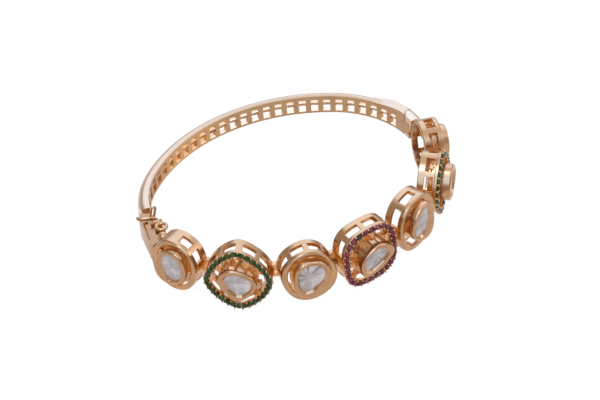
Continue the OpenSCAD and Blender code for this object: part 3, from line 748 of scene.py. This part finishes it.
def polki_piece(k):
    s = SETTINGS[k]
    M = setting_frame(s)
    q = STONES[k]
    top = s[11]
    pts = blob(q, -0.06, q[8])
    c = (q[0], q[1])
    n = len(pts)
    rng = random.Random(40 + k)
    v = [(x, y, top - 0.72) for x, y in pts]
    v += [(x, y, top - 0.47) for x, y in pts]
    inner = []
    m = max(5, n // 2 + 1)
    for i in range(m):
        a = 2 * math.pi * (i + rng.uniform(-0.25, 0.25)) / m
        r = polar(pts, c, [a])[0] * rng.uniform(0.5, 0.68)
        inner.append((c[0] + r * math.cos(a), c[1] + r * math.sin(a), top - 0.47 + rng.uniform(0.10, 0.24)))
    v += inner
    v.append((c[0] + rng.uniform(-0.4, 0.4), c[1] + rng.uniform(-0.4, 0.4), top - 0.24))
    f = [tuple(range(n))]
    f += [(i, (i + 1) % n, n + (i + 1) % n, n + i) for i in range(n)]
    ang = lambda p: math.atan2(p[1] - c[1], p[0] - c[0]) % (2 * math.pi)
    outer = sorted(range(n), key=lambda i: ang(pts[i]))
    inn = sorted(range(m), key=lambda i: ang(inner[i]))
    oa = [ang(pts[i]) for i in outer]
    ia = [ang(inner[i]) for i in inn]
    # stitch the two rings
    i = j = 0
    oi, ii = [n + o for o in outer], [2 * n + o for o in inn]
    while i < n or j < m:
        a = oa[(i + 1) % n] + (2 * math.pi if i + 1 >= n else 0) if i < n else 1e9
        b = ia[(j + 1) % m] + (2 * math.pi if j + 1 >= m else 0) if j < m else 1e9
        if a <= b:
            f.append((oi[i % n], oi[(i + 1) % n], ii[j % m]))
            i += 1
        else:
            f.append((oi[i % n], ii[(j + 1) % m], ii[j % m]))
            j += 1
    last = len(v) - 1
    for j in range(m):
        f.append((ii[j], ii[(j + 1) % m], last))
    ob = make(f"flat_stone_{k + 1}", v, f, "front", [f"polki_{k + 1}"], MAT_POLKI, M=M, smooth=False)
    inv = (LAY @ M).inverted()
    ox, oy = rng.uniform(-0.5, 0.5), rng.uniform(0.2, 0.9)
    flat = []
    for p in ob.data.vertices:
        w = inv @ p.co
        flat += [w.x - c[0] - ox, w.y - c[1] - oy, 0.37 * k]
    ob.data.attributes.new("stone", "FLOAT_VECTOR", "POINT")
    ob.data.attributes["stone"].data.foreach_set("vector", flat)
    ob.data.attributes.new("veins", "FLOAT", "POINT")
    ob.data.attributes["veins"].data.foreach_set("value", [VEINS[k]] * len(ob.data.vertices))


for k in range(7):
    polki_piece(k)


# ------------------------------------------------------------------ links, hinge ends, clasp box
S = Soup()
for t in (-60.9, -34.2, -12.5, 12.5, 34.2, 60.4):
    px, py = oval_p(-90 + t)
    B = Matrix.Translation((px, py, SET_Z)) @ Matrix.Rotation(rad(oval_n(-90 + t)), 4, "Z")
    # flat ring with a hole, standing between the two rims
    outer = [(0.25, y, z) for y, z in ((-1.0, -1.5), (1.0, -1.5), (1.0, 1.5), (-1.0, 1.5))]
    n = 24
    rows = []
    for x in (0.25, 1.35):
        rows.append([(x, max(-1.0, min(1.0, 1.45 * math.cos(2 * math.pi * i / n))), max(-1.5, min(1.5, 2.15 * math.sin(2 * math.pi * i / n)))) for i in range(n)])
    for x in (1.35, 0.25):
        rows.append([(x, 0.42 * math.cos(2 * math.pi * i / n), -0.4 + 0.42 * math.sin(2 * math.pi * i / n)) for i in range(n)])
    S.grid(rows, True, True, None, B)
make("links", S.v, S.f, "front", ["front_frame"], MAT_GOLD, bevel=0.12)


def section_pts(t, h, n, k, e=0.0):
    out = []
    for i in range(k + 1):
        a = -90 + 180 * i / k
        out.append((t * max(math.cos(rad(a)), 0) ** (2 / n),
                    (h - (e if i in (0, k) else 0)) * spow(math.sin(rad(a)), 2 / n)))
    return out


def boolean(a, b, op):
    """a (an object) changed by b, which is removed"""
    m = a.modifiers.new("cut", "BOOLEAN")
    m.operation = op
    m.object = b
    m.solver = "EXACT"
    dg = bpy.context.evaluated_depsgraph_get()
    me = bpy.data.meshes.new_from_object(a.evaluated_get(dg))
    a.modifiers.clear()
    old = a.data
    a.data = me
    bpy.data.meshes.remove(old)
    bpy.data.objects.remove(b)


def temp(verts, faces):
    """a helper solid in the bangle's own frame, laid down like the rest"""
    me = bpy.data.meshes.new("temp")
    me.from_pydata([tuple(LAY @ Vector(v) * 1000) for v in verts], [], faces)
    bm = bmesh.new()
    bm.from_mesh(me)
    bmesh.ops.recalc_face_normals(bm, faces=bm.faces)
    bm.to_mesh(me)
    bm.free()
    ob = bpy.data.objects.new("temp", me)
    bpy.context.scene.collection.objects.link(ob)
    return ob


def cylinder(r, x, y, z0, z1, n=48):
    s = Soup()
    s.prism([(x + r * math.cos(2 * math.pi * i / n), y + r * math.sin(2 * math.pi * i / n)) for i in range(n)], z0, z1)
    return temp(s.v, s.f)


def settle(ob, name, body, nodes, mat, bevel):
    """turn a helper solid into a shown piece"""
    ob.data.transform(Matrix.Scale(MM, 4))
    ob.name = name
    for p in ob.data.polygons:
        p.use_smooth = True
    ob.data.materials.clear()
    ob.data.materials.append(mat)
    b = ob.modifiers.new("edges", "BEVEL")
    b.width = bevel * MM
    b.segments = 2
    b.limit_method = "ANGLE"
    b.angle_limit = rad(35)
    b.harden_normals = True
    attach(ob, body)
    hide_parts(*nodes)
    return ob


def zone(r, inner, outer, z0, z1, back=False):
    """upright solid about the pin: a disc, and all in front of a line on the wrist side and the far side"""
    a0, a1 = math.asin(outer / r), math.pi - math.asin(inner / r)
    pts = [(-6, -9), (6, -9), (6, outer)]
    pts += [(r * math.cos(a0 + (a1 - a0) * i / 40), r * math.sin(a0 + (a1 - a0) * i / 40)) for i in range(41)]
    pts.append((-6, inner))
    q = Soup()
    q.prism([(HX + x, HY + (-y if back else y)) for x, y in pts], z0, z1)
    return temp(q.v, q.f)


# outer knuckles and the block that joins them to the last setting
HINGE_GAP = 0.36
hg = HINGE_GAP / 2
SS, CC = math.sin(rad(50)), math.cos(rad(50))
KK = (HALF_W - BACK_D) / (SS + CC - 1)
R_SIDE = HALF_W - KK * CC
X_SIDE = HALF_W - R_SIDE
s = Soup()
prof = section_pts(END_T, (END_Z[1] - END_Z[0]) / 2, 3.2, 24, 0.2)
angs = [rad(-11 + 1.25 * i) for i in range(13)]
s.grid([[(X_SIDE + (R_SIDE + 0.02 + x) * math.cos(a), (R_SIDE + 0.02 + x) * math.sin(a), z + sum(END_Z) / 2) for a in angs]
        for x, z in prof], True, False, None, None, caps=True)
block = temp(s.v, s.f)
boolean(block, zone(KNUCKLE_R, LAP - hg, -hg, -5, 7), "INTERSECT")
boolean(block, zone(KNUCKLE_R + HINGE_GAP, LAP + hg, hg, KNUCKLE_Z[0] - hg, KNUCKLE_Z[1] + hg, True), "DIFFERENCE")
boolean(block, cylinder(PIN_R + 0.04, HX, HY, END_Z[0] + 0.3, END_Z[1] - 0.3), "DIFFERENCE")
last = SETTINGS[6]
s = Soup()
s.prism([outline_point(last, 2 * math.pi * i / 64, 0.45) for i in range(64)], -1, 8, setting_frame(last))
boolean(block, temp(s.v, s.f), "DIFFERENCE")
settle(block, "hinge_block", "front", ["front_frame"], MAT_HINGE, 0.05)

# clasp box
cpx, cpy = oval_p(164.5)
cn = oval_n(164.5)
cm = (cpx + 1.2 * math.cos(rad(cn)), cpy + 1.2 * math.sin(rad(cn)))
cdir = math.degrees(math.atan2(cm[1] - HY, cm[0] - HX)) - 90
CLASP = Matrix.Translation((cm[0], cm[1], 0)) @ Matrix.Rotation(rad(cdir - 90), 4, "Z") @ Matrix.Scale(-1, 4, (1, 0, 0))
MOUTH, BOX_Z = -3.3, 2.13
BAR = (-0.3, -5.5, 2.62)
s = Soup()
s.prism([(-1.13, MOUTH - 0.4), (2.25, MOUTH + 0.7), (3.07, MOUTH - 7.1), (2.7, MOUTH - 7.8), (0.3, MOUTH - 6.6), (-1.07, MOUTH - 5)],
        -BOX_Z, BOX_Z, CLASP)
box = temp(s.v, s.f)
s = Soup()
s.box(0.3 - 0.925, 0.3 + 0.925, MOUTH - 3.7, MOUTH + 0.9, -1.45, 1.45, CLASP)
boolean(box, temp(s.v, s.f), "DIFFERENCE")
s = Soup()
s.box(1.0, 1.9, MOUTH - 1.4, MOUTH - 0.65, 1.2, 4, CLASP)
boolean(box, temp(s.v, s.f), "DIFFERENCE")
s = Soup()
s.box(0, 0.28, 0, 5.2, 1.2, 4, CLASP @ Matrix.Translation((2.55, MOUTH - 5.9, 0)) @ Matrix.Rotation(rad(9.5), 4, "Z"))
boolean(box, temp(s.v, s.f), "DIFFERENCE")
s = Soup()
ctr = SETTINGS[0]
Mf = setting_frame(ctr)
pts = [outline_point(ctr, 2 * math.pi * i / 64, 0.45) for i in range(64)]
s.prism(pts, 0, 9, Mf)
boolean(box, temp(s.v, s.f), "DIFFERENCE")
settle(box, "clasp_box", "front", ["front_frame"], MAT_CLASP, 0.12)

# wire lip of the box, lugs and bar of the safety catch, and the ball on the first setting
S = Soup()
S.tube([(-0.4, MOUTH - 0.28, BOX_Z + 0.12), (0.4, MOUTH + 0.0, BOX_Z + 0.14), (1.4, MOUTH + 0.40, BOX_Z + 0.12),
        (2.0, MOUTH + 0.70, BOX_Z + 0.06), (2.28, MOUTH + 1.0, BOX_Z - 0.02), (2.26, MOUTH + 1.35, BOX_Z - 0.1)], 0.33, CLASP)
S.ball(0.33, CLASP @ Matrix.Translation((2.26, MOUTH + 1.35, BOX_Z - 0.1)))
S.ball(0.33, CLASP @ Matrix.Translation((-0.4, MOUTH - 0.28, BOX_Z + 0.12)))
for x in (-0.98, 0.98):
    S.tube([(BAR[0] + x - 0.15, BAR[1], BAR[2]), (BAR[0] + x, BAR[1], BAR[2]), (BAR[0] + x + 0.15, BAR[1], BAR[2])], 0.4, CLASP, 20)
    S.box(BAR[0] + x - 0.15, BAR[0] + x + 0.15, BAR[1] - 0.3, BAR[1] + 0.3, BOX_Z - 0.2, BAR[2], CLASP)
S.tube([(BAR[0] + x, BAR[1], BAR[2]) for x in (-1.1, 0, 1.1)], 0.2, CLASP)
S.ball(1.0, Mf @ Matrix.Translation((-3.32, 4.25, 2.1)), 24, 16)
make("catch_bar_and_ball", S.v, S.f, "front", ["front_frame"], MAT_GOLD)

# ------------------------------------------------------------------ materials of the frame's own pieces
NODE_MATS = {"back_band": MAT_BAND, "hinge_pin": MAT_BAND, "front_frame": MAT_GOLD, "safety_catch": MAT_GOLD,
             "green_halo_left": MAT_GREEN, "green_halo_right": MAT_GREEN, "ruby_halo_centre": MAT_RUBY}
for name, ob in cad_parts.items():
    ob.data.materials.clear()
    ob.data.materials.append(NODE_MATS.get(name, MAT_POLKI))

# ------------------------------------------------------------------ floor, light, camera
me = bpy.data.meshes.new("floor")
me.from_pydata([(-1.5, -1.5, 0), (1.5, -1.5, 0), (1.5, 1.5, 0), (-1.5, 1.5, 0)], [], [(0, 1, 2, 3)])
floor = bpy.data.objects.new("floor", me)
bpy.context.scene.collection.objects.link(floor)
fm, nt, b = node_mat("floor_white")
b.inputs["Base Color"].default_value = (0.08, 0.08, 0.08, 1)
b.inputs["Roughness"].default_value = 0.9
b.inputs["Specular IOR Level"].default_value = 0.0
b.inputs["Emission Color"].default_value = (1, 1, 1, 1)
b.inputs["Emission Strength"].default_value = 0.93
me.materials.append(fm)

world = bpy.data.worlds.new("studio")
bpy.context.scene.world = world
world.use_nodes = True
wt = world.node_tree
bg = wt.nodes["Background"]
tc = wt.nodes.new("ShaderNodeTexCoord")


def lobe(direction, lo, hi):
    """1 towards a direction, falling smoothly to 0"""
    d = wt.nodes.new("ShaderNodeVectorMath")
    d.operation = "DOT_PRODUCT"
    wt.links.new(tc.outputs["Generated"], d.inputs[0])
    d.inputs[1].default_value = Vector(direction).normalized()
    r = wt.nodes.new("ShaderNodeMapRange")
    r.interpolation_type = "SMOOTHSTEP"
    r.inputs["From Min"].default_value = lo
    r.inputs["From Max"].default_value = hi
    wt.links.new(d.outputs["Value"], r.inputs["Value"])
    return r.outputs["Result"]


sky = mix_color(wt, lobe((0.45, 0.10, 0.85), 0.45, 0.78), (0.62, 0.61, 0.60), (1.25, 1.37, 1.56))
sky = mix_color(wt, lobe((-0.38, -0.47, 0.79), 0.84, 0.93), sky, (1.60, 2.40, 3.7))
sky = mix_color(wt, lobe((0.40, 0.65, 0.60), 0.76, 0.96), sky, (1.78, 2.33, 3.2))
wt.links.new(sky, bg.inputs["Color"])
bg.inputs["Strength"].default_value = 1.0


def area(name, loc, aim, size, power, color=(1, 1, 1)):
    ld = bpy.data.lights.new(name, "AREA")
    ld.shape = "RECTANGLE"
    ld.size, ld.size_y = size
    ld.energy = power
    ld.color = color
    ob = bpy.data.objects.new(name, ld)
    bpy.context.scene.collection.objects.link(ob)
    ob.location = loc
    ob.rotation_euler = (Vector(aim) - Vector(loc)).to_track_quat("-Z", "Y").to_euler()
    return ob


area("key", (-0.22, -0.10, 0.55), (0, 0, 0), (0.12, 0.12), 0.35)
area("fill", (0.45, -0.35, 0.30), (0, 0, 0), (0.20, 0.30), 0.3)

# camera, fitted to the photo's outlines in the bangle's own frame
AZ, EL, ROLL, DIST, TARGET = -31.79, 38.76, -3.84, 316.31, (-2.01, -7.74, 0.0)
az, el, ro = rad(AZ), rad(EL), rad(ROLL)
back = Vector((math.sin(az) * math.cos(el), -math.cos(az) * math.cos(el), math.sin(el)))
right = Vector((math.cos(az), math.sin(az), 0))
up = back.cross(right)
x = right * math.cos(ro) + up * math.sin(ro)
y = up * math.cos(ro) - right * math.sin(ro)
C = Vector(TARGET) + back * DIST
rot = Matrix.Rotation(rad(-TILT), 3, "X")
cx, cy, cz = rot @ x, rot @ y, rot @ back
mat = Matrix(((cx.x, cy.x, cz.x, 0), (cx.y, cy.y, cz.y, 0), (cx.z, cy.z, cz.z, 0), (0, 0, 0, 1)))
cam_data = bpy.data.cameras.new("camera")
cam_data.lens = 96.0
cam_data.sensor_width = 36.0
cam_data.sensor_fit = "HORIZONTAL"
cam_data.clip_start = 0.01
cam_data.clip_end = 10
cam = bpy.data.objects.new("camera", cam_data)
bpy.context.scene.collection.objects.link(cam)
cam.matrix_world = Matrix.Translation(LAY @ C) @ mat
bpy.context.scene.camera = cam

scene = bpy.context.scene
scene.view_settings.view_transform = "Standard"
scene.view_settings.look = "None"
scene.view_settings.exposure = 0.0
scene.view_settings.gamma = 1.0

bpy.context.view_layer.update()
